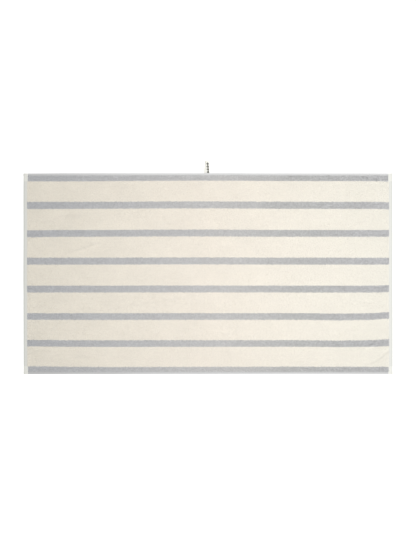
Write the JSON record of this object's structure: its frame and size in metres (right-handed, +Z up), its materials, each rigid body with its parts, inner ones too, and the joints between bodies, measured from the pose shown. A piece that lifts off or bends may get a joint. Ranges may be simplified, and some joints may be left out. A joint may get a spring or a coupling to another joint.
{
  "type": "bath sheet",
  "caption": "Large striped terry towel lying flat, face up, with flat hems on every side and a tape loop for hanging it.",
  "frame": {"origin": "middle of the flat underside, at the height of the surface that the sheet lies on", "axes": "+X along the long side, +Y across towards the side with the hanging loop, +Z up out of the pile"},
  "size_m": [1.6826, 0.975, 0.0089],
  "materials": {
    "cream_terry": "matt cotton terry loops, undyed cream",
    "grey_terry": "matt cotton terry loops, yarn-dyed grey",
    "flat_weave": "flat woven cotton of the hems",
    "sewing_thread": "spun sewing thread",
    "loop_tape": "narrow woven tape with a soft sheen"
  },
  "bodies": {
    "root": {"towel": "cream_terry", "hanging_loop": "loop_tape"}
  },
  "joints": []
}
